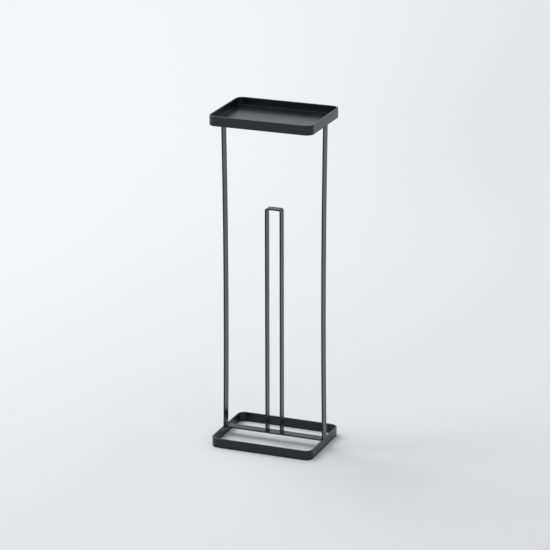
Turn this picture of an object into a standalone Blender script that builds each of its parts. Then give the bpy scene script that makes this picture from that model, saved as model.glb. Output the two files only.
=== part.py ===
"""Toilet paper holder with tray: a free-standing frame of welded flat steel bar.

Metres, +Z up, front towards -Y. The origin is on the floor, under the middle of the base ring.
A bar's wide face stands upright in the base ring, the tray rim and the legs, and lies flat in the cross strip.
"""

import math

import bmesh
import bpy

# Outside of the frame
RING_WIDTH = 0.165
RING_DEPTH = 0.122
RING_BEND_RADIUS = 0.012
STAND_HEIGHT = 0.524

# Flat bar of the base ring, tray rim, legs and cross strip
BAR_WIDTH = 0.015
BAR_THICKNESS = 0.0023
BAR_EDGE_RADIUS = 0.0004

# Legs, drawn slightly together half way up
LEG_BOW = 0.002

# Post, one narrower bar bent to an upside-down U
POST_BAR_WIDTH = 0.013
POST_BAR_THICKNESS = 0.0023
POST_WIDTH = 0.026
POST_HEIGHT = 0.3585
POST_BEND_RADIUS = 0.004

# Sheet floor of the tray, above the lower edge of its rim
FLOOR_THICKNESS = 0.0012
FLOOR_LIFT = 0.002
FLOOR_EDGE_RADIUS = 0.0002

# Welds, and the fine gap left between pieces that they hold together
SEAT_GAP = 0.0003
SEAM_WELD_WIDTH = 0.001
BEAD_REACH = 0.0025
BEAD_INSET = 0.001
BEAD_EDGE_RADIUS = 0.0002
TACK_LENGTH = 0.008
TACK_PLACE_SHARES = {"left": -0.7, "middle": 0.0, "right": 0.7}
BEAD_CROWN_SHARE = 0.1

# Fineness of the round stretches
BEND_STEPS = 10
POST_BEND_STEPS = 6
LEG_STEPS = 16
CROWN_STEPS = 6
EDGE_SEGMENTS = 2
EDGE_ANGLE = math.radians(35)
MERGE_DISTANCE = 0.00001

# Black powder coat
COAT_COLOR = (0.020, 0.023, 0.028, 1.0)
COAT_ROUGHNESS = 0.45
WELD_ROUGHNESS = 0.55

# Heights and faces that pieces share
RAIL_FACE_X = RING_WIDTH / 2 - BAR_THICKNESS
RAIL_FACE_Y = RING_DEPTH / 2 - BAR_THICKNESS
STRIP_TOP = BAR_WIDTH
RIM_BOTTOM = STAND_HEIGHT - BAR_WIDTH
SEAM_GAP = SEAM_WELD_WIDTH + 2 * SEAT_GAP
BEAD_RUN = BAR_WIDTH - 2 * BEAD_INSET
POST_BEAD_RUN = POST_BAR_WIDTH - 2 * BEAD_INSET

# An outline drawn in X and Y is turned up so that its Y points along world Z
UPRIGHT = (math.pi / 2, 0, 0)
UPRIGHT_SIDEWAYS = (math.pi / 2, 0, math.pi / 2)

SIDES = {"left": -1, "right": 1}
RAILS = {"front": -1, "back": 1}


def clear_scene():
    """Remove every object that the file opened with."""
    for obj in list(bpy.data.objects):
        bpy.data.objects.remove(obj, do_unlink=True)


def new_collection(name):
    """Make a collection in the scene."""
    collection = bpy.data.collections.new(name)
    bpy.context.scene.collection.children.link(collection)
    return collection


def new_level(name, collection, height, parent=None):
    """Make an empty that marks a height which several pieces are placed from."""
    level = bpy.data.objects.new(name, None)
    level.location = (0, 0, height)
    level.parent = parent
    collection.objects.link(level)
    return level


def coat(obj, roughness):
    """Give a piece its own powder coat material."""
    material = bpy.data.materials.new(obj.name + "_coat")
    material.use_nodes = True
    shader = material.node_tree.nodes["Principled BSDF"]
    shader.inputs["Base Color"].default_value = COAT_COLOR
    shader.inputs["Roughness"].default_value = roughness
    shader.inputs["Metallic"].default_value = 0
    obj.data.materials.append(material)


def round_edges(obj, radius):
    """Round the sharp edges of a piece, once the loose caps of a curve are welded on."""
    weld = obj.modifiers.new("weld_caps", "WELD")
    weld.merge_threshold = MERGE_DISTANCE
    bevel = obj.modifiers.new("round_edges", "BEVEL")
    bevel.width = radius
    bevel.segments = EDGE_SEGMENTS
    bevel.limit_method = "ANGLE"
    bevel.angle_limit = EDGE_ANGLE


def place(obj, collection, level, location, roughness):
    """Link a piece, put it in its place above a level and coat it."""
    obj.parent = level
    obj.location = location
    collection.objects.link(obj)
    coat(obj, roughness)
    return obj


def outline_piece(name, points, thickness):
    """Make a flat piece from a closed outline, with half its thickness on each side of the outline."""
    curve = bpy.data.curves.new(name, "CURVE")
    curve.dimensions = "2D"
    curve.fill_mode = "BOTH"
    curve.extrude = thickness / 2
    spline = curve.splines.new("POLY")
    spline.points.add(len(points) - 1)
    for point, (x, y) in zip(spline.points, points):
        point.co = (x, y, 0, 1)
    spline.use_cyclic_u = True
    return bpy.data.objects.new(name, curve)


def box_piece(name, size_x, size_y, size_z):
    """Make a box about its own centre."""
    mesh = bpy.data.meshes.new(name)
    form = bmesh.new()
    bmesh.ops.create_cube(form, size=1)
    bmesh.ops.scale(form, vec=(size_x, size_y, size_z), verts=form.verts)
    form.to_mesh(mesh)
    form.free()
    return bpy.data.objects.new(name, mesh)


def arc(center_x, center_y, radius, start_quarter, sweep_quarters, steps):
    """List the points of an arc, whose start and sweep are counted in quarter turns."""
    points = []
    for step in range(steps + 1):
        angle = (start_quarter + sweep_quarters * step / steps) * math.pi / 2
        points.append((center_x + radius * math.cos(angle), center_y + radius * math.sin(angle)))
    return points


def ring_bends(inset):
    """List the four bends of the ring, anticlockwise from the back left, this far inside its outer face."""
    radius = RING_BEND_RADIUS - inset
    bend_x = RING_WIDTH / 2 - RING_BEND_RADIUS
    bend_y = RING_DEPTH / 2 - RING_BEND_RADIUS
    points = []
    for quarter, sign_x, sign_y in ((1, -1, 1), (2, -1, -1), (3, 1, -1), (4, 1, 1)):
        points += arc(sign_x * bend_x, sign_y * bend_y, radius, quarter, 1, BEND_STEPS)
    return points


def ring_outline():
    """Draw the bent bar from above: round its outer face from the seam, and back round its inner face."""
    outer = [(-SEAM_GAP / 2, RING_DEPTH / 2)] + ring_bends(0) + [(SEAM_GAP / 2, RING_DEPTH / 2)]
    inner = [(-SEAM_GAP / 2, RAIL_FACE_Y)] + ring_bends(BAR_THICKNESS) + [(SEAM_GAP / 2, RAIL_FACE_Y)]
    return outer + inner[::-1]


def leg_outline(side, length):
    """Draw a leg from the front: its faces run parallel and bow towards the middle of the stand."""
    outer = []
    inner = []
    for step in range(LEG_STEPS + 1):
        share = step / LEG_STEPS
        bow = LEG_BOW * 4 * share * (1 - share)
        outer.append((-side * bow, share * length))
        inner.append((-side * (bow + BAR_THICKNESS), share * length))
    points = inner + outer[::-1]
    return points if side < 0 else points[::-1]


def post_outline(height):
    """Draw the post from the front: up its outer face, over the two bends, and back inside."""
    half = POST_WIDTH / 2
    bend_x = half - POST_BEND_RADIUS
    bend_z = height - POST_BEND_RADIUS
    inner_radius = POST_BEND_RADIUS - POST_BAR_THICKNESS
    inner_half = half - POST_BAR_THICKNESS
    outer = [(half, 0)]
    outer += arc(bend_x, bend_z, POST_BEND_RADIUS, 0, 1, POST_BEND_STEPS)
    outer += arc(-bend_x, bend_z, POST_BEND_RADIUS, 1, 1, POST_BEND_STEPS)
    outer += [(-half, 0)]
    inner = [(-inner_half, 0)]
    inner += arc(-bend_x, bend_z, inner_radius, 2, -1, POST_BEND_STEPS)
    inner += arc(bend_x, bend_z, inner_radius, 1, -1, POST_BEND_STEPS)
    inner += [(inner_half, 0)]
    return outer + inner


def bead_outline(across, upright):
    """Draw a fillet weld from its end: a right-angled corner with a slightly crowned face across it."""
    points = [(0, 0)]
    for step in range(CROWN_STEPS + 1):
        share = step / CROWN_STEPS
        crown = BEAD_CROWN_SHARE * 4 * share * (1 - share)
        points.append((across * (1 - share + crown), upright * (share + crown)))
    return points if across * upright > 0 else points[::-1]


def bead(name, collection, level, corner, across, upright, run, turn=UPRIGHT):
    """Lay a fillet weld in a corner, reaching this far across and upright, along its run."""
    obj = outline_piece(name, bead_outline(across, upright), run)
    obj.rotation_euler = turn
    round_edges(obj, BEAD_EDGE_RADIUS)
    return place(obj, collection, level, corner, WELD_ROUGHNESS)


def ring(name, seam_name, collection, level):
    """Make a bent ring of flat bar that stands on a level, and the weld that closes its seam at the back."""
    bar = outline_piece(name, ring_outline(), BAR_WIDTH)
    round_edges(bar, BAR_EDGE_RADIUS)
    place(bar, collection, level, (0, 0, BAR_WIDTH / 2), COAT_ROUGHNESS)
    seam = box_piece(seam_name, SEAM_WELD_WIDTH, BAR_THICKNESS, BAR_WIDTH)
    round_edges(seam, BEAD_EDGE_RADIUS)
    seam_y = RING_DEPTH / 2 - BAR_THICKNESS / 2
    place(seam, collection, level, (0, seam_y, BAR_WIDTH / 2), WELD_ROUGHNESS)


def cross_strip(collection, strip_level):
    """Lay the strip between the side rails, flush with their top, and weld its ends from below."""
    length = 2 * (RAIL_FACE_X - SEAT_GAP)
    strip = box_piece("cross_strip", length, BAR_WIDTH, BAR_THICKNESS)
    round_edges(strip, BAR_EDGE_RADIUS)
    place(strip, collection, strip_level, (0, 0, -BAR_THICKNESS / 2), COAT_ROUGHNESS)
    for name, side in SIDES.items():
        corner = (side * (RAIL_FACE_X - SEAT_GAP), 0, -BAR_THICKNESS - SEAT_GAP)
        bead("strip_weld_" + name, collection, strip_level, corner, -side * BEAD_REACH, -BEAD_REACH, BEAD_RUN)


def legs(collection, strip_level):
    """Stand the legs on the side rails, under the tray rim, and weld their feet to the cross strip."""
    length = RIM_BOTTOM - STRIP_TOP - 2 * SEAT_GAP
    for name, side in SIDES.items():
        leg = outline_piece("leg_" + name, leg_outline(side, length), BAR_WIDTH)
        leg.rotation_euler = UPRIGHT
        round_edges(leg, BAR_EDGE_RADIUS)
        place(leg, collection, strip_level, (side * RING_WIDTH / 2, 0, SEAT_GAP), COAT_ROUGHNESS)
        corner = (side * (RAIL_FACE_X - SEAT_GAP), 0, SEAT_GAP)
        bead("foot_weld_" + name, collection, strip_level, corner, -side * BEAD_REACH, BEAD_REACH, BEAD_RUN)


def roll_post(collection, strip_level):
    """Stand the post on the middle of the cross strip and weld the outside of its feet."""
    post = outline_piece("roll_post", post_outline(POST_HEIGHT - SEAT_GAP), POST_BAR_WIDTH)
    post.rotation_euler = UPRIGHT
    round_edges(post, BAR_EDGE_RADIUS)
    place(post, collection, strip_level, (0, 0, SEAT_GAP), COAT_ROUGHNESS)
    for name, side in SIDES.items():
        corner = (side * (POST_WIDTH / 2 + SEAT_GAP), 0, SEAT_GAP)
        bead("post_weld_" + name, collection, strip_level, corner,
             side * BEAD_REACH, BEAD_REACH, POST_BEAD_RUN)


def tray(collection, rim_level):
    """Make the tray: its rim, the sheet floor inside it, and the welds that hold both from below."""
    ring("tray_rim", "tray_seam_weld", collection, rim_level)
    floor = outline_piece("tray_floor", ring_bends(BAR_THICKNESS + SEAT_GAP), FLOOR_THICKNESS)
    round_edges(floor, FLOOR_EDGE_RADIUS)
    place(floor, collection, rim_level, (0, 0, FLOOR_LIFT + FLOOR_THICKNESS / 2), COAT_ROUGHNESS)
    weld_top = FLOOR_LIFT - SEAT_GAP
    for name, side in SIDES.items():
        corner = (side * (RAIL_FACE_X - SEAT_GAP), 0, weld_top)
        bead("top_weld_" + name, collection, rim_level, corner,
             -side * BEAD_REACH, -(weld_top + BEAD_REACH), BEAD_RUN)
    tack_reach = weld_top - SEAT_GAP
    straight_half = RING_WIDTH / 2 - RING_BEND_RADIUS
    for rail_name, rail in RAILS.items():
        for place_name, share in TACK_PLACE_SHARES.items():
            corner = (share * straight_half, rail * (RAIL_FACE_Y - SEAT_GAP), weld_top)
            bead("floor_tack_" + rail_name + "_" + place_name, collection, rim_level, corner,
                 -rail * tack_reach, -tack_reach, TACK_LENGTH, UPRIGHT_SIDEWAYS)


def main():
    """Build the holder from the floor up."""
    clear_scene()
    holder = new_collection("toilet_paper_holder_with_tray")
    floor_level = new_level("floor_level", holder, 0)
    strip_level = new_level("strip_level", holder, STRIP_TOP, floor_level)
    rim_level = new_level("rim_level", holder, RIM_BOTTOM, floor_level)
    ring("base_ring", "base_seam_weld", holder, floor_level)
    cross_strip(holder, strip_level)
    legs(holder, strip_level)
    roll_post(holder, strip_level)
    tray(holder, rim_level)


main()
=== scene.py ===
"""Looks of the toilet paper holder with tray: flat bar, sheet and weld beads under a black powder coat.

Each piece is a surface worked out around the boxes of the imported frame, in metres, with +Z up and
the front towards -Y. Seen from above, a ring runs anticlockwise from the seam in the middle of its
back rail.
"""

import logging
import math
from dataclasses import dataclass
from enum import Enum
from typing import Any, Union

import bpy
import numpy as np
from mathutils import Matrix, Vector


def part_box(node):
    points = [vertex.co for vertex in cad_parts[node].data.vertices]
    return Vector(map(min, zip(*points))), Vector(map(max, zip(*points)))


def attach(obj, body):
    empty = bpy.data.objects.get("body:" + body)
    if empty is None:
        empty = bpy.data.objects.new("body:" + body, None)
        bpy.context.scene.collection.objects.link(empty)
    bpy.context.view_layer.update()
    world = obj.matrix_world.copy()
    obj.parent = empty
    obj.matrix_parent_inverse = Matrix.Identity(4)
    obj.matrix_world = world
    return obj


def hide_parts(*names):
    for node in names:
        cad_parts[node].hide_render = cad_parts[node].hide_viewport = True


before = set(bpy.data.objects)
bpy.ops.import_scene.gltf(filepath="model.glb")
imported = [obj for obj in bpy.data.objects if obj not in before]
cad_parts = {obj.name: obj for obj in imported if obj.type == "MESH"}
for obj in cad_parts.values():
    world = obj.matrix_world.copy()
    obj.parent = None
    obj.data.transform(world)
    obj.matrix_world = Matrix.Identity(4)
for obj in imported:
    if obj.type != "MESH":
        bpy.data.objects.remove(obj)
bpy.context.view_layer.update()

log = logging.getLogger("holder")

Array = np.ndarray
Color = tuple[float, float, float, float]
Stops = tuple[tuple[float, float], tuple[float, float]]

BODY = "root"
# Mesh attribute of the pale edges: partly thin, worn coat and partly a painted highlight line.
EDGE_MASK = "pale_edge_wear_and_highlight"
QUARTER_TURN = math.pi / 2
NOISE_MIDDLE = 0.5
SEAT_GAP = 0.0003

# A Mix node repeats the names of its sockets for each type of data, so its colours go by number.
FIRST_COLOR, SECOND_COLOR, MIXED_COLOR = 6, 7, 2


class Slot(Enum):
    """The record's finishes."""

    COAT = "powder_coat"
    WELD = "coated_weld"


class Option(Enum):
    """A choice whose name is part of the nodes' names."""

    @property
    def word(self) -> str:
        """Give its name as the nodes' names spell it."""
        return self.name.lower()


class Side(Option):
    """The two sides of the holder, with their sign along X."""

    LEFT = -1
    RIGHT = 1


class Rail(Option):
    """The long rails of the tray, with their sign along Y."""

    FRONT = -1
    BACK = 1


class Tack(Option):
    """The tack welds along a rail of the tray, with their sign along X."""

    LEFT = -1
    MIDDLE = 0
    RIGHT = 1


class Level(Enum):
    """Where a weld bead lies from the level face that it joins, with its sign along Z."""

    ABOVE = 1
    BELOW = -1


class Axis(Enum):
    """The world axes, by their place in a point's coordinates."""

    X = 0
    Y = 1
    Z = 2

    def repeated(self, count: int) -> Array:
        """Give the axis's direction once for each of a number of stations."""
        return np.tile(np.eye(3)[self.value], (count, 1))

    def lifted(self, flat: Array, level: float) -> Array:
        """Turn points of the plane across this axis into points in space, at a level along the axis."""
        return np.insert(flat, self.value, level, axis=1)


def hump(share: Array) -> Array:
    """Rise from 0 to 1 half way and fall back to 0, by 4t(1 - t) at share t."""
    return 4 * share * (1 - share)


class Signal:
    """A number on its way through a shader, whose operators add Math nodes."""

    def __init__(self, desk: "NodeDesk", socket: bpy.types.NodeSocket) -> None:
        """Keep the socket and the desk that lays its nodes."""
        self.desk = desk
        self.socket = socket

    def __add__(self, other: "Number") -> "Signal":
        """Add a number or a signal."""
        return self.desk.maths("ADD", self, other)

    __radd__ = __add__

    def __sub__(self, other: "Number") -> "Signal":
        """Take a number or a signal away."""
        return self.desk.maths("SUBTRACT", self, other)

    def __rsub__(self, other: "Number") -> "Signal":
        """Take this signal away from a number."""
        return self.desk.maths("SUBTRACT", other, self)

    def __mul__(self, other: "Number") -> "Signal":
        """Multiply by a number or a signal."""
        return self.desk.maths("MULTIPLY", self, other)

    __rmul__ = __mul__


Number = Union[float, Signal]


class NodeDesk:
    """Lays the nodes of one material or world."""

    def __init__(self, owner: Union[bpy.types.Material, bpy.types.World]) -> None:
        """Empty the node tree of its owner.

        Args:
            owner: The material or world that the nodes are for.
        """
        owner.use_nodes = True
        self.tree = owner.node_tree
        self.tree.nodes.clear()

    def node(self, kind: str, settings: dict[str, Any], inputs: dict[Any, Any]) -> bpy.types.Node:
        """Add one node.

        Args:
            kind: The node's type name.
            settings: Its properties, set first; "stops" holds a ramp's (place, grey) pairs.
            inputs: Values, signals or sockets for its inputs, by name or number.

        Returns:
            The node.
        """
        made = self.tree.nodes.new(kind)
        for name, value in settings.items():
            if name == "stops":
                for element, (place, grey) in zip(made.color_ramp.elements, value):
                    element.position = place
                    element.color = (grey, grey, grey, 1)
            else:
                setattr(made, name, value)
        for name, value in inputs.items():
            source = value.socket if isinstance(value, Signal) else value
            if isinstance(source, bpy.types.NodeSocket):
                self.tree.links.new(source, made.inputs[name])
            else:
                made.inputs[name].default_value = source
        return made

    def maths(self, operation: str, first: Number, second: Number) -> Signal:
        """Add a Math node on two numbers or signals, and give its result."""
        made = self.node("ShaderNodeMath", {"operation": operation}, {0: first, 1: second})
        return Signal(self, made.outputs[0])

    def place(self) -> bpy.types.NodeSocket:
        """Give the point's place on the piece, in metres, or in a world the ray's direction."""
        return self.node("ShaderNodeTexCoord", {}, {}).outputs["Object"]

    def noise(self, place: bpy.types.NodeSocket, pitch: float, octaves: float) -> Signal:
        """Add a Noise node.

        Args:
            place: The coordinates it reads.
            pitch: The size of its largest lumps, in metres.
            octaves: How many finer octaves it holds.

        Returns:
            The noise, from 0 to 1 around the middle.
        """
        inputs = {"Vector": place, "Scale": 1 / pitch, "Detail": octaves}
        return Signal(self, self.node("ShaderNodeTexNoise", {}, inputs).outputs[0])

    def ramp(self, value: Signal, stops: Stops) -> Signal:
        """Pass a value through a straight ramp between two stops of place and height."""
        made = self.node("ShaderNodeValToRGB", {"stops": stops}, {0: value})
        return Signal(self, made.outputs[0])

    def smooth_step(self, value: bpy.types.NodeSocket, low: float, high: float) -> Signal:
        """Rise smoothly from 0 at a low value to 1 at a high one.

        Args:
            value: The value that it follows.
            low: Where the rise starts.
            high: Where it ends.

        Returns:
            The height reached, 3tt - 2ttt at the share t of the way from low to high.
        """
        inputs = {"From Min": low, "From Max": high, "Value": value}
        settings = {"interpolation_type": "SMOOTHSTEP"}
        return Signal(self, self.node("ShaderNodeMapRange", settings, inputs).outputs[0])

    def mix_color(self, factor: Number, first: Any, second: Any) -> bpy.types.NodeSocket:
        """Mix two colours by a factor, and give the mixed colour's socket."""
        inputs = {0: factor, FIRST_COLOR: first, SECOND_COLOR: second}
        return self.node("ShaderNodeMix", {"data_type": "RGBA"}, inputs).outputs[MIXED_COLOR]


@dataclass(frozen=True)
class PowderCoat:
    """Black polyester powder, fused to a fine satin skin with orange peel and a fine grain.

    Pitches and heights are in metres. Stops are those of ramps over the slow clouds.
    """

    name: str
    color: Color = (0.0056, 0.0083, 0.0134, 1)
    faded: Color = (0.0090, 0.0121, 0.0178, 1)
    # Paler tone of rounded edges and weld crowns: partly worn coat, partly a painted highlight line.
    edge: Color = (0.052, 0.055, 0.061, 1)
    edge_share: float = 0.55
    roughness: float = 0.23
    roughness_swing: float = 0.06
    refraction: float = 1.42
    cloud_pitch: float = 0.022
    cloud_octaves: float = 4
    cloud_stops: Stops = ((0.3, 0.0), (0.7, 1.0))
    # Patchiness of the pale edges, worn coat and painted highlight, over the clouds.
    patchy_wear_and_highlight_stops: Stops = ((0.35, 0.25), (0.65, 1.0))
    peel_pitch: float = 0.0019
    peel_octaves: float = 2
    peel_height: float = 0.000050
    grain_pitch: float = 0.00042
    grain_octaves: float = 3
    grain_height: float = 0.000042

    def material(self) -> bpy.types.Material:
        """Make the material.

        Slow clouds change its tone and gloss, rounded edges are paler, partly from thin, worn coat and
        partly as a painted highlight line, and orange peel and grain lie on it in relief.

        Returns:
            The material.
        """
        made = bpy.data.materials.new(self.name)
        desk = NodeDesk(made)
        place = desk.place()
        cloud = desk.noise(place, self.cloud_pitch, self.cloud_octaves)
        peel = desk.noise(place, self.peel_pitch, self.peel_octaves)
        grain = desk.noise(place, self.grain_pitch, self.grain_octaves)
        mask = desk.node("ShaderNodeAttribute", {"attribute_name": EDGE_MASK}, {})
        # Pale edges: worn coat and a painted highlight line, patchy along the clouds.
        patchy_wear_and_highlight = desk.ramp(cloud, self.patchy_wear_and_highlight_stops)
        worn_coat_and_highlight = Signal(desk, mask.outputs["Fac"]) * patchy_wear_and_highlight * self.edge_share
        tone = desk.mix_color(desk.ramp(cloud, self.cloud_stops), self.color, self.faded)
        tone = desk.mix_color(worn_coat_and_highlight, tone, self.edge)
        uneven = (cloud - NOISE_MIDDLE) + (peel - NOISE_MIDDLE)
        gloss = self.roughness + uneven * self.roughness_swing
        relief = peel * self.peel_height + grain * self.grain_height
        bump = desk.node("ShaderNodeBump", {}, {"Strength": 1, "Distance": 1, "Height": relief})
        inputs = {
            "Base Color": tone,
            "Roughness": gloss,
            "IOR": self.refraction,
            "Normal": bump.outputs[0],
        }
        shader = desk.node("ShaderNodeBsdfPrincipled", {}, inputs)
        desk.node("ShaderNodeOutputMaterial", {}, {"Surface": shader.outputs[0]})
        return made


@dataclass
class Surface:
    """A closed surface: its points, quads and triangles, and its points' share of a pale edge (wear and
    painted highlight).
    """

    points: Array
    quads: Array
    triangles: Array
    edge: Array

    def faces(self) -> list[list[int]]:
        """List the faces, pointing outwards.

        Six times the signed volume is the sum, over all triangles and the halves of all quads, of the
        triple product of their corners. It is negative on a surface that is inside out, and then the
        corners of every face are taken in reverse.

        Returns:
            The point numbers of each face.
        """
        halves = (self.quads[:, [0, 1, 2]], self.quads[:, [0, 2, 3]])
        corners = self.points[np.concatenate((*halves, self.triangles))]
        products = np.einsum("ij,ij->i", corners[:, 0], np.cross(corners[:, 1], corners[:, 2]))
        step = 1 if products.sum() > 0 else -1
        return self.quads[:, ::step].tolist() + self.triangles[:, ::step].tolist()


def tube_surface(grid: Array, edge: Array, joined: bool) -> Surface:
    """Close a grid of rings into a surface.

    Point (row, column) of the grid is joined to its neighbours, and the last column to the first.
    The last row is joined to the first too, or else each end row is closed by a fan to the middle of
    its points.

    Args:
        grid: The points, by row, column and coordinate.
        edge: The pale edge mask (worn coat and painted highlight), by row and column.
        joined: Whether the rows close on themselves.

    Returns:
        The closed surface.
    """
    rows, columns = grid.shape[:2]
    row = np.arange(rows if joined else rows - 1)[:, None] * columns
    above = (row + columns) % (rows * columns)
    column = np.arange(columns)
    beside = (column + 1) % columns
    corners = (row + column, row + beside, above + beside, above + column)
    quads = np.stack(corners, axis=-1).reshape(-1, 4)
    triangles = np.zeros((0, 3), int)
    points = grid.reshape(-1, 3)
    mask = edge.reshape(-1)
    if not joined:
        last_row, pole = (rows - 1) * columns, np.full(columns, rows * columns)
        first_fan = np.stack((pole, beside, column), axis=-1)
        last_fan = np.stack((pole + 1, last_row + column, last_row + beside), axis=-1)
        triangles = np.concatenate((first_fan, last_fan))
        points = np.concatenate((points, grid[[0, -1]].mean(axis=1)))
        mask = np.concatenate((mask, edge[[0, -1]].mean(axis=1)))
    return Surface(points, quads, triangles, mask)


def add_piece(name: str, surface: Surface, finish: bpy.types.Material, node: str) -> None:
    """Put a surface into the scene as a finished piece that stands for a node.

    Args:
        name: The piece's name.
        surface: Its closed surface.
        finish: Its material.
        node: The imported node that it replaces.
    """
    mesh = bpy.data.meshes.new(name)
    mesh.from_pydata(surface.points.tolist(), [], surface.faces())
    mask = mesh.attributes.new(EDGE_MASK, "FLOAT", "POINT")
    mask.data.foreach_set("value", surface.edge.astype(np.float32))
    mesh.shade_smooth()
    mesh.materials.append(finish)
    piece = bpy.data.objects.new(name, mesh)
    bpy.context.scene.collection.objects.link(piece)
    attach(piece, BODY)
    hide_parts(node)
    log.info("%s stands for %s with %d points", name, node, len(surface.points))


@dataclass(frozen=True)
class FlatBar:
    """A length of flat steel bar, seen in section, with rounded edges under its coat."""

    width: float
    thickness: float
    edge_radius: float = 0.00045
    support: float = 0.00015
    arc_steps: int = 5
    end_steps: int = 4
    end_turn_share: float = 0.9

    def section(self) -> tuple[Array, Array, Array]:
        """Work out the bar's section as a core and the directions in which the rounding leaves it.

        A point of the section is its core point plus the edge radius times its direction. The core is
        the rectangle that lies an edge radius inside the bar, and the direction turns through a
        quarter at each of its corners. One more point before and after each corner lies on the flat,
        a support's length away.

        Returns:
            The core points and the directions, both as (across the bar, through the bar), and the
            edge mask.
        """
        share = np.concatenate(([0], np.linspace(0, 1, self.arc_steps + 1), [1]))
        slide = np.zeros_like(share)
        slide[0], slide[-1] = -self.support, self.support
        corner = np.arange(4)[:, None]
        angle = (corner + share) * QUARTER_TURN
        direction = np.stack((np.cos(angle), np.sin(angle)), axis=-1)
        along = np.stack((-np.sin(angle), np.cos(angle)), axis=-1)
        middle = (corner + 1 / 2) * QUARTER_TURN
        quadrant = np.sign(np.stack((np.cos(middle), np.sin(middle)), axis=-1))
        half = np.array([self.width, self.thickness]) / 2 - self.edge_radius
        core = quadrant * half + slide[:, None] * along
        # The rounded arcs carry the pale edge mask: worn coat and painted highlight.
        edge = np.broadcast_to(np.sin(share * math.pi), angle.shape)
        return core.reshape(-1, 2), direction.reshape(-1, 2), edge.reshape(-1)

    def swept(self, line: Array, across: Array, through: Array, radius: Array, joined: bool) -> Surface:
        """Carry the section along a line.

        Each ring of the surface is the line's point, plus the section's first coordinate along
        `across` and its second along `through`. The radius, which may shrink towards an end, rounds
        the section, and as it shrinks the whole ring becomes a pale edge: worn coat and painted
        highlight.

        Args:
            line: The middle of the bar, by station and coordinate.
            across: The direction of the bar's width at each station.
            through: The direction of its thickness at each station.
            radius: The rounding of the section at each station.
            joined: Whether the bar closes on itself.

        Returns:
            The bar's surface.
        """
        core, direction, edge = self.section()
        section = core[None] + radius[:, None, None] * direction[None]
        sideways = section[..., :1] * across[:, None]
        depthways = section[..., 1:] * through[:, None]
        # A rounded-off end turns wholly into pale edge, worn coat and painted highlight.
        cut = np.clip(1 - radius / self.edge_radius, 0, 1)
        mask = np.maximum(edge[None], cut[:, None])
        return tube_surface(line[:, None] + sideways + depthways, mask, joined)

    def stations(self, length: float, inner: Array) -> tuple[Array, Array]:
        """Space the stations of a bar whose ends are rounded off.

        At an angle from the face towards the tip, a station lies one edge radius, less its sine share,
        from the tip, and the rounding is the cosine share of the edge radius. The last one stops short
        of the tip.

        Args:
            length: The length of the bar.
            inner: Distances of the stations between its ends.

        Returns:
            The distances along the bar, in order, and the rounding at each of them.
        """
        angle = np.linspace(self.end_turn_share, 0, self.end_steps) * QUARTER_TURN
        end = self.edge_radius * (1 - np.sin(angle))
        rounding = self.edge_radius * np.cos(angle)
        inner = inner[(inner > end[-1]) & (inner < length - end[-1])]
        full = np.full(len(inner), self.edge_radius)
        distance = np.concatenate((end, inner, length - end[::-1]))
        return distance, np.concatenate((rounding, full, rounding[::-1]))


@dataclass(frozen=True)
class BentPath:
    """A line in a plane that runs straight, bends left a quarter turn, and runs straight again."""

    start: tuple[float, float]
    heading: float
    straights: tuple[float, ...]
    bend_radius: float

    def lengths(self) -> Array:
        """List the lengths of its parts.

        Returns:
            The lengths of the straight runs and of the bends between them, in turn.
        """
        bend = self.bend_radius * QUARTER_TURN
        joined = [length for straight in self.straights for length in (straight, bend)]
        return np.array(joined[:-1])

    def stations(self, step: float, bend_steps: int, support: float) -> Array:
        """Space stations along the path.

        Args:
            step: The spacing on the straight runs.
            bend_steps: The number of steps in a bend.
            support: How far before and after a bend one more station lies.

        Returns:
            The distances along the path.
        """
        starts = np.concatenate(([0], np.cumsum(self.lengths())))
        spans = []
        for index, (low, high) in enumerate(zip(starts[:-1], starts[1:])):
            if index % 2:
                spans.append(np.linspace(low, high, bend_steps + 1))
            else:
                count = max(int((high - low) / step), 2)
                spans.append(np.linspace(low + support, high - support, count))
        return np.concatenate(([0], *spans, [starts[-1]]))

    def at(self, distance: Array) -> tuple[Array, Array, Array]:
        """Find the line at some distances along it.

        A point is the start of its straight run or bend, plus the way from there that `reach` gives.

        Args:
            distance: The distances along the path.

        Returns:
            The points, the directions that point out of the bends, and 1 in a bend or 0 on a straight
            run.
        """
        lengths = self.lengths()
        bent = np.arange(len(lengths)) % 2
        starts = np.cumsum(lengths) - lengths
        turned = self.heading + (np.cumsum(bent) - bent) * QUARTER_TURN
        curvature = bent / self.bend_radius
        ways = self.reach(turned, curvature, lengths)
        corners = np.array(self.start) + np.cumsum(ways, axis=0) - ways
        index = np.clip(np.searchsorted(starts, distance, side="right") - 1, 0, len(lengths) - 1)
        past = distance - starts[index]
        heading = turned[index] + curvature[index] * past
        point = corners[index] + self.reach(turned[index], curvature[index], past)
        outward = np.stack((np.sin(heading), -np.cos(heading)), axis=-1)
        return point, outward, bent[index].astype(float)

    @staticmethod
    def reach(heading: Array, curvature: Array, past: Array) -> Array:
        """Work out how far a straight run or a bend has moved the line.

        On a straight run that is the length d times (cos h, sin h) of the heading h. In a bend of
        curvature k that starts at heading h, it is (sin(h + kd) - sin h) / k and
        (cos h - cos(h + kd)) / k.

        Args:
            heading: The headings at the starts.
            curvature: The curvatures, or 0 on a straight run.
            past: The lengths from the starts.

        Returns:
            The ways from the starts, as points of the plane.
        """
        bend = np.where(curvature == 0, 1, curvature)
        after = heading + curvature * past
        straight = np.stack((past * np.cos(heading), past * np.sin(heading)), axis=-1)
        turn = np.stack((np.sin(after) - np.sin(heading), np.cos(heading) - np.cos(after)), axis=-1)
        return np.where((curvature == 0)[:, None], straight, turn / bend[:, None])


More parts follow.
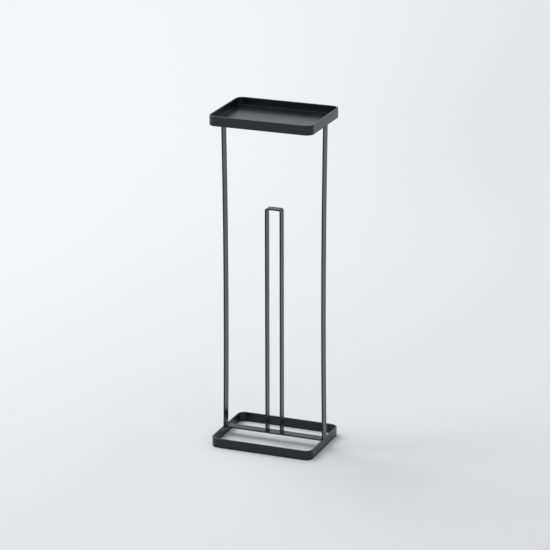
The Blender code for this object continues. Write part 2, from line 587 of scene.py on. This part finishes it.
@dataclass(frozen=True)
class WeldBead:
    """A fillet weld under its coat: a crowned, rippled bead in the corner between two pieces.

    Its size and place are those of its node's box, grown over the fine gap to what it joins. From its
    corner it lies above or below, and towards a sign of the level axis that its run crosses.
    """

    node: str
    run: Axis
    across_sign: int
    level: Level
    crown: float = 0.09
    ripple: float = 0.04
    pitch: float = 0.00115
    lag: float = 3.6
    wander: float = 0.05
    wander_pitch: float = 0.0047
    blunt: float = 3.2
    tip_share: float = 0.96
    # Share of pale crown: rubbed coat and a painted highlight.
    crown_wear_and_highlight_share: float = 0.35
    rows: int = 160
    columns: int = 18

    def surface(self) -> Surface:
        """Work out the bead.

        The section has its corner where the two joined faces meet. A point at share t of its face
        lies at (1 - t + crown, t + crown) times the bead's two reaches, where the crown is a hump over
        the face. Ripples lengthen it by a cosine along the run that lags in the middle of the face, as
        a weld pool freezes. A slower sine, whose phase shifts a little with the bead's place, narrows
        the bead here and there, as a hand wanders. Towards both ends the section shrinks as a
        superellipse of the run, with the bluntness as its exponent.

        Returns:
            The bead's surface.
        """
        low, high = (np.array(corner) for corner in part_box(self.node))
        run, side, up = self.run.value, 1 - self.run.value, Axis.Z.value
        half_run = (high[run] - low[run]) / 2
        along = np.sin(np.linspace(-1, 1, self.rows) * self.tip_share * QUARTER_TURN)
        size = (1 - np.abs(along) ** self.blunt) ** (1 / self.blunt)
        share = np.linspace(0, 1, self.columns)
        bulge = hump(share)
        turns = 2 * math.pi * half_run * along[:, None]
        ripples = np.cos(turns / self.pitch + self.lag * bulge)
        narrowed = (1 + np.sin(turns / self.wander_pitch + low[0] + math.pi * share)) / 2
        swell = 1 + self.ripple * bulge * ripples - self.wander * narrowed
        crown = self.crown * bulge
        face = np.stack((1 - share + crown, share + crown), axis=-1)
        section = np.zeros((self.rows, self.columns + 1, 2))
        section[:, 1:] = face * (swell * size[:, None])[..., None]
        grid = np.zeros((self.rows, self.columns + 1, 3))
        grid[..., run] = (low[run] + high[run]) / 2 + along[:, None] * half_run
        for number, (axis, sign) in enumerate(((side, self.across_sign), (up, self.level.value))):
            corner = low[axis] - SEAT_GAP if sign > 0 else high[axis] + SEAT_GAP
            reach = high[axis] - low[axis] + SEAT_GAP
            grid[..., axis] = corner + sign * reach * section[..., number]
        # The bead's crown is paler: rubbed coat and a painted highlight.
        edge = np.concatenate(([0], self.crown_wear_and_highlight_share * bulge))
        return tube_surface(grid, np.broadcast_to(edge, grid.shape[:2]), joined=False)

    def add(self, finish: bpy.types.Material) -> None:
        """Put the bead into the scene."""
        add_piece(self.node + "_bead", self.surface(), finish, self.node)


@dataclass(frozen=True)
class BentRing:
    """The base ring or the tray rim: a flat bar on edge, bent to a rounded rectangle and welded."""

    node: str
    seam_node: str
    bar: FlatBar
    bend_radius: float = 0.012
    step: float = 0.004
    bend_steps: int = 18
    inner_swell: float = 0.0001
    swell_blend: tuple[float, float, float] = (0.25, 0.5, 0.25)
    seam_half: float = 0.0009
    seam_proud: float = 0.00006
    seam_ripple: float = 0.3
    seam_pace: float = 9.0
    seam_rows: int = 13

    def path(self) -> BentPath:
        """Lay the bar's middle line.

        Returns:
            The line from the seam to the left and round to the seam again, seen from above.
        """
        low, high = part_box(self.node)
        inset = self.bar.thickness / 2
        straight_x = high.x - low.x - 2 * self.bend_radius
        straight_y = high.y - low.y - 2 * self.bend_radius
        straights = (straight_x / 2, straight_y, straight_x, straight_y, straight_x / 2)
        return BentPath((0, high.y - inset), math.pi, straights, self.bend_radius - inset)

    def surface(self) -> Surface:
        """Sweep the bar round the ring.

        A bend squeezes steel out of its inner face. A point there rises by the swell times three
        shares: how far it lies in a bend, blended over its neighbours, how deep behind the middle
        line, and how high over it.

        Returns:
            The ring's surface.
        """
        low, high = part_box(self.node)
        path = self.path()
        distance = path.stations(self.step, self.bend_steps, self.bar.support)[:-1]
        point, outward, bent = path.at(distance)
        line = Axis.Z.lifted(point, (low.z + high.z) / 2)
        through = Axis.Z.lifted(outward, 0)
        radius = np.full(len(point), self.bar.edge_radius)
        made = self.bar.swept(line, Axis.Z.repeated(len(point)), through, radius, joined=True)
        columns = len(made.points) // len(point)
        bent = np.convolve(np.pad(bent, 1, mode="wrap"), self.swell_blend, mode="valid")
        offset = made.points - np.repeat(line, columns, axis=0)
        outwards = np.einsum("ij,ij->i", offset, np.repeat(through, columns, axis=0))
        depth = np.clip(-outwards / (self.bar.thickness / 2), 0, 1)
        height = np.clip(offset[:, 2] / (self.bar.width / 2), 0, 1)
        made.points[:, 2] += self.inner_swell * np.repeat(bent, columns) * depth * height
        return made

    def seam(self) -> Surface:
        """Work out the seam weld: a short band of the bar's section, ground almost flush.

        At share t of its half length its faces stand proud of the bar's by the height times
        1 - 2tt + r cos(pt), with the ripple r and its pace p, so that its ends dip into the bar.

        Returns:
            The band's surface, with nothing below the ring's lower edge.
        """
        low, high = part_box(self.node)
        along = np.linspace(-1, 1, self.seam_rows)
        ripples = self.seam_ripple * np.cos(self.seam_pace * along)
        radius = self.bar.edge_radius + self.seam_proud * (1 - 2 * along**2 + ripples)
        line = np.zeros((len(along), 3))
        line[:, 0] = along * self.seam_half
        line[:, 1] = high.y - self.bar.thickness / 2
        line[:, 2] = (low.z + high.z) / 2
        across, through = Axis.Z.repeated(len(along)), Axis.Y.repeated(len(along))
        made = self.bar.swept(line, across, through, radius, joined=False)
        made.points[:, 2] = np.maximum(made.points[:, 2], low.z)
        return made

    def add(self, coat: bpy.types.Material, weld: bpy.types.Material) -> None:
        """Put the ring and its seam weld into the scene."""
        add_piece(self.node + "_bar", self.surface(), coat, self.node)
        add_piece(self.seam_node + "_band", self.seam(), weld, self.seam_node)


@dataclass(frozen=True)
class CrossStrip:
    """The strip across the base ring, which carries the post, with the welds under its ends."""

    bar: FlatBar
    step: float = 0.005

    def surface(self) -> Surface:
        """Sweep the bar from rail to rail, lying flat.

        Returns:
            The strip's surface.
        """
        low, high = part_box("cross_strip")
        length = high.x - low.x + 2 * SEAT_GAP
        distance, radius = self.bar.stations(length, np.arange(0, length, self.step))
        line = np.zeros((len(distance), 3))
        line[:, 0] = low.x - SEAT_GAP + distance
        line[:, 2] = (low.z + high.z) / 2
        across, through = Axis.Y.repeated(len(distance)), Axis.Z.repeated(len(distance))
        return self.bar.swept(line, across, through, radius, joined=False)

    def add(self, coat: bpy.types.Material, weld: bpy.types.Material) -> None:
        """Put the strip and its two welds into the scene.

        Args:
            coat: The material of bar and sheet.
            weld: The material of weld beads.
        """
        add_piece("cross_strip_bar", self.surface(), coat, "cross_strip")
        for side in Side:
            WeldBead("strip_weld_" + side.word, Axis.Y, -side.value, Level.BELOW).add(weld)


@dataclass(frozen=True)
class Leg:
    """A leg: a flat bar that bows slightly inwards between the base ring and the tray rim."""

    side: Side
    bar: FlatBar
    step: float = 0.008

    def surface(self) -> Surface:
        """Sweep the bar up the leg.

        Its middle line lies nearer to the middle of the holder by the bow times a hump over its
        height. The bow is what the node's box holds beyond the bar's thickness.

        Returns:
            The leg's surface.
        """
        low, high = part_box("leg_" + self.side.word)
        sign = self.side.value
        bow = high.x - low.x - self.bar.thickness
        outer = high.x if sign > 0 else low.x
        length = high.z - low.z + 2 * SEAT_GAP
        distance, radius = self.bar.stations(length, np.arange(0, length, self.step))
        share = distance / length
        line = np.zeros((len(distance), 3))
        line[:, 0] = outer - sign * (self.bar.thickness / 2 + bow * hump(share))
        line[:, 2] = low.z - SEAT_GAP + distance
        rise = np.gradient(line, distance, axis=0)
        through = np.column_stack((rise[:, 2], rise[:, 1], -rise[:, 0]))
        through /= np.linalg.norm(through, axis=1)[:, None]
        across = Axis.Y.repeated(len(distance))
        return self.bar.swept(line, across, through, radius, joined=False)

    def add(self, coat: bpy.types.Material, weld: bpy.types.Material) -> None:
        """Put the leg and the welds at its foot and top into the scene.

        Args:
            coat: The material of bar and sheet.
            weld: The material of weld beads.
        """
        inwards = -self.side.value
        node = "leg_" + self.side.word
        add_piece(node + "_bar", self.surface(), coat, node)
        WeldBead("foot_weld_" + self.side.word, Axis.Y, inwards, Level.ABOVE).add(weld)
        WeldBead("top_weld_" + self.side.word, Axis.Y, inwards, Level.BELOW).add(weld)


@dataclass(frozen=True)
class Post:
    """The post: a narrower flat bar bent to an upside-down U on the cross strip."""

    thickness: float = 0.0023
    bend_radius: float = 0.004
    step: float = 0.008
    bend_steps: int = 14

    def surface(self) -> Surface:
        """Sweep the bar up from its right foot, over both bends and down to its left foot.

        Returns:
            The post's surface.
        """
        low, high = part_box("roll_post")
        bar = FlatBar(high.y - low.y, self.thickness)
        inset = self.thickness / 2
        rise = high.z - low.z + SEAT_GAP - self.bend_radius
        span = high.x - low.x - 2 * self.bend_radius
        start = (high.x - inset, low.z - SEAT_GAP)
        path = BentPath(start, QUARTER_TURN, (rise, span, rise), self.bend_radius - inset)
        inner = path.stations(self.step, self.bend_steps, bar.support)
        distance, radius = bar.stations(path.lengths().sum(), inner)
        point, outward, _ = path.at(distance)
        line = Axis.Y.lifted(point, (low.y + high.y) / 2)
        through = Axis.Y.lifted(outward, 0)
        return bar.swept(line, Axis.Y.repeated(len(point)), through, radius, joined=False)

    def add(self, coat: bpy.types.Material, weld: bpy.types.Material) -> None:
        """Put the post and the welds at its feet into the scene.

        Args:
            coat: The material of bar and sheet.
            weld: The material of weld beads.
        """
        add_piece("roll_post_bar", self.surface(), coat, "roll_post")
        for side in Side:
            WeldBead("post_weld_" + side.word, Axis.Y, side.value, Level.ABOVE).add(weld)


@dataclass(frozen=True)
class TrayFloor:
    """The sheet floor of the tray, with its tack welds underneath."""

    bend_radius: float = 0.0094
    reach: float = 0.0004
    cove: float = 0.0008
    edge_radius: float = 0.00025
    sag: float = 0.00012
    middle_share: float = 0.02
    face_rings: int = 26
    edge_steps: int = 6
    step: float = 0.004
    support: float = 0.0005
    bend_steps: int = 14
    tack_rows: int = 48
    tack_columns: int = 10

    def surface(self) -> Surface:
        """Work out the sheet.

        Each ring is a line a cove's radius inside the sheet's outline, drawn in towards the middle by
        a share or pushed out. From the lower face the rings turn up at the edge, which reaches just
        into the rim, and come back to the upper face along a quarter circle that hollows the corner,
        where powder fills the joint. A thin sheet never lies quite flat: its middle hangs by the sag
        times two cosine humps, over its length and depth.

        Returns:
            The sheet's surface.
        """
        low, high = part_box("tray_floor")
        radius = self.bend_radius + self.reach
        size_x = high.x - low.x + 2 * self.reach
        size_y = high.y - low.y + 2 * self.reach
        straight_x, straight_y = size_x - 2 * radius, size_y - 2 * radius
        straights = (straight_x / 2, straight_y, straight_x, straight_y, straight_x / 2)
        path = BentPath((0, size_y / 2 - self.cove), math.pi, straights, radius - self.cove)
        point, outward, _ = path.at(path.stations(self.step, self.bend_steps, self.support)[:-1])
        share = np.linspace(self.middle_share, 1, self.face_rings)
        angle = np.linspace(0, 1, self.edge_steps) * QUARTER_TURN
        half = (high.z - low.z) / 2
        below, above = np.full(len(share), -half), np.full(len(share) - 1, half)
        drawn = np.concatenate((share, np.ones(2 * len(angle)), share[-2::-1]))
        turn_out = self.cove - self.edge_radius * (1 - np.sin(angle))
        turn_up = self.edge_radius * (1 - np.cos(angle)) - half
        hollow_in = self.cove * np.cos(angle)
        hollow_down = half + self.cove * (1 - np.sin(angle))
        pushed = np.concatenate((np.zeros_like(below), turn_out, hollow_in, np.zeros_like(above)))
        level = np.concatenate((below, turn_up, hollow_down, above))
        grid = np.zeros((len(drawn), len(point), 3))
        grid[..., :2] = drawn[:, None, None] * point + pushed[:, None, None] * outward
        hang = np.cos(grid[..., 0] / size_x * math.pi) * np.cos(grid[..., 1] / size_y * math.pi)
        grid[..., 2] = (high.z + low.z) / 2 + level[:, None] - self.sag * hang
        return tube_surface(grid, np.zeros(grid.shape[:2]), joined=False)

    def add(self, coat: bpy.types.Material, weld: bpy.types.Material) -> None:
        """Put the sheet and its six tack welds into the scene.

        Args:
            coat: The material of bar and sheet.
            weld: The material of weld beads.
        """
        add_piece("tray_floor_sheet", self.surface(), coat, "tray_floor")
        fineness = {"rows": self.tack_rows, "columns": self.tack_columns}
        for rail in Rail:
            for tack in Tack:
                node = "floor_tack_" + rail.word + "_" + tack.word
                WeldBead(node, Axis.X, -rail.value, Level.BELOW, **fineness).add(weld)


@dataclass(frozen=True)
class Studio:
    """The plain pale floor, the soft light and the camera.

    The camera's focal length is the focal share times the width of its sensor.
    """

    floor_half: float = 14.0
    floor_color: Color = (0.838, 0.842, 0.847, 1)
    floor_roughness: float = 0.75
    floor_specular: float = 0.2
    floor_near: float = 0.8
    floor_far: float = 2.2
    backdrop_color: Color = (0.972, 0.988, 1.0, 1)
    backdrop_strength: float = 0.93
    dim_strength: float = 0.8
    dim_from: float = -0.5
    dim_to: float = -0.05
    fill_strength: float = 0.59
    key_place: tuple[float, float, float] = (-2.6, 0.7, 3.4)
    key_aim: tuple[float, float, float] = (-1.4, 1.5, 0.0)
    key_size: float = 4.0
    key_watts: float = 108.0
    azimuth: float = math.radians(21.64)
    elevation: float = math.radians(18.31)
    tilt: float = math.radians(0.119)
    distance: float = 4.329
    aim_across: float = 0.0009
    aim_height: float = 0.2679
    sensor: float = 36.0
    focal_share: float = 5.2111

    def add_floor(self) -> None:
        """Lay the floor: one square around the origin."""
        corners = self.floor_half * np.array([(-1, -1, 0), (1, -1, 0), (1, 1, 0), (-1, 1, 0)])
        mesh = bpy.data.meshes.new("studio_floor")
        mesh.from_pydata(corners.tolist(), [], [[0, 1, 2, 3]])
        mesh.materials.append(self.floor_paint())
        floor = bpy.data.objects.new("studio_floor", mesh)
        bpy.context.scene.collection.objects.link(floor)

    @staticmethod
    def shown(desk: NodeDesk) -> Signal:
        """Tell what is seen from what only lights the room.

        Args:
            desk: The desk of the floor's or the world's nodes.

        Returns:
            1 for what the camera sees, directly, in a reflection or through glass, and 0 for light.
        """
        path = desk.node("ShaderNodeLightPath", {}, {})
        names = ("Is Camera Ray", "Is Glossy Ray", "Is Transmission Ray")
        camera, glossy, through = (Signal(desk, path.outputs[name]) for name in names)
        return desk.maths("MAXIMUM", desk.maths("MAXIMUM", camera, glossy), through)

    def backdrop(self, desk: NodeDesk, kind: str) -> bpy.types.NodeSocket:
        """Make the glow of the backdrop, which grows dimmer to the right, away from the key light.

        The dim glow's share is a smooth step of the X part of the direction: for the floor the one from
        the origin to the point, and for the world the ray's.

        Args:
            desk: The desk of the floor's or the world's nodes.
            kind: The type of node that glows there.

        Returns:
            The glow's shader socket.
        """
        strengths = (self.backdrop_strength, self.dim_strength)
        glows = [{"Color": self.backdrop_color, "Strength": strength} for strength in strengths]
        bright, dim = (desk.node(kind, {}, glow).outputs[0] for glow in glows)
        towards = desk.node("ShaderNodeVectorMath", {"operation": "NORMALIZE"}, {0: desk.place()})
        parts = desk.node("ShaderNodeSeparateXYZ", {}, {0: towards.outputs[0]})
        share = desk.smooth_step(parts.outputs["X"], self.dim_from, self.dim_to)
        return desk.node("ShaderNodeMixShader", {}, {0: share, 1: bright, 2: dim}).outputs[0]

    def floor_paint(self) -> bpy.types.Material:
        """Make the floor's matt paint, which passes far away into the pale backdrop.

        The backdrop's share is a smooth step of the distance from the origin.

        Returns:
            The material.
        """
        made = bpy.data.materials.new("studio_floor_paint")
        desk = NodeDesk(made)
        inputs = {
            "Base Color": self.floor_color,
            "Roughness": self.floor_roughness,
            "Specular IOR Level": self.floor_specular,
        }
        paint = desk.node("ShaderNodeBsdfPrincipled", {}, inputs)
        away = desk.node("ShaderNodeVectorMath", {"operation": "LENGTH"}, {0: desk.place()})
        far = desk.smooth_step(away.outputs["Value"], self.floor_near, self.floor_far)
        glow = self.backdrop(desk, "ShaderNodeEmission")
        inputs = {0: far * self.shown(desk), 1: paint.outputs[0], 2: glow}
        mixed = desk.node("ShaderNodeMixShader", {}, inputs)
        desk.node("ShaderNodeOutputMaterial", {}, {"Surface": mixed.outputs[0]})
        return made

    def add_world(self) -> None:
        """Fill the room with soft light, and show the backdrop to the camera and in reflections."""
        world = bpy.data.worlds.new("studio")
        bpy.context.scene.world = world
        desk = NodeDesk(world)
        inputs = {"Color": self.backdrop_color, "Strength": self.fill_strength}
        fill = desk.node("ShaderNodeBackground", {}, inputs)
        backdrop = self.backdrop(desk, "ShaderNodeBackground")
        inputs = {0: self.shown(desk), 1: fill.outputs[0], 2: backdrop}
        mixed = desk.node("ShaderNodeMixShader", {}, inputs)
        desk.node("ShaderNodeOutputWorld", {}, {"Surface": mixed.outputs[0]})

    def add_key(self) -> None:
        """Hang the large soft light up at the back left, turned towards the floor behind the holder."""
        lamp = bpy.data.lights.new("key_light", "AREA")
        lamp.shape = "DISK"
        lamp.size = self.key_size
        lamp.energy = self.key_watts
        key = bpy.data.objects.new("key_light", lamp)
        key.location = self.key_place
        towards = Vector(self.key_aim) - Vector(self.key_place)
        key.rotation_euler = towards.to_track_quat("-Z", "Y").to_euler()
        bpy.context.scene.collection.objects.link(key)

    def add_camera(self) -> None:
        """Place the camera to the front right of the holder, looking down at it from far away."""
        lens = bpy.data.cameras.new("camera")
        lens.sensor_width = self.sensor
        lens.lens = self.sensor * self.focal_share
        lens.clip_end = 2 * self.floor_half
        right = Vector((math.cos(self.azimuth), math.sin(self.azimuth), 0))
        level_back = Vector((math.sin(self.azimuth), -math.cos(self.azimuth), 0))
        back = level_back * math.cos(self.elevation) + Vector((0, 0, math.sin(self.elevation)))
        up = back.cross(right)
        aim = right * self.aim_across + Vector((0, 0, self.aim_height))
        turned_right = right * math.cos(self.tilt) - up * math.sin(self.tilt)
        turned_up = right * math.sin(self.tilt) + up * math.cos(self.tilt)
        axes = Matrix((turned_right, turned_up, back)).transposed().to_4x4()
        camera = bpy.data.objects.new("camera", lens)
        camera.matrix_world = Matrix.Translation(aim + back * self.distance) @ axes
        bpy.context.scene.collection.objects.link(camera)
        bpy.context.scene.camera = camera

    def add(self) -> None:
        """Set up the whole studio."""
        bpy.context.scene.view_settings.view_transform = "Standard"
        self.add_floor()
        self.add_world()
        self.add_key()
        self.add_camera()


def main() -> None:
    """Build the holder from the floor up, then the studio around it."""
    logging.basicConfig(level=logging.INFO, format="%(name)s: %(message)s")
    coat = PowderCoat("black_powder_coat").material()
    weld = PowderCoat("black_powder_coat_on_weld", roughness=0.36).material()
    low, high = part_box("cross_strip")
    bar = FlatBar(high.y - low.y, high.z - low.z)
    BentRing("base_ring", "base_seam_weld", bar).add(coat, weld)
    CrossStrip(bar).add(coat, weld)
    for side in Side:
        Leg(side, bar).add(coat, weld)
    Post().add(coat, weld)
    BentRing("tray_rim", "tray_seam_weld", bar).add(coat, weld)
    TrayFloor().add(coat, weld)
    Studio().add()


if __name__ == "__main__":
    main()
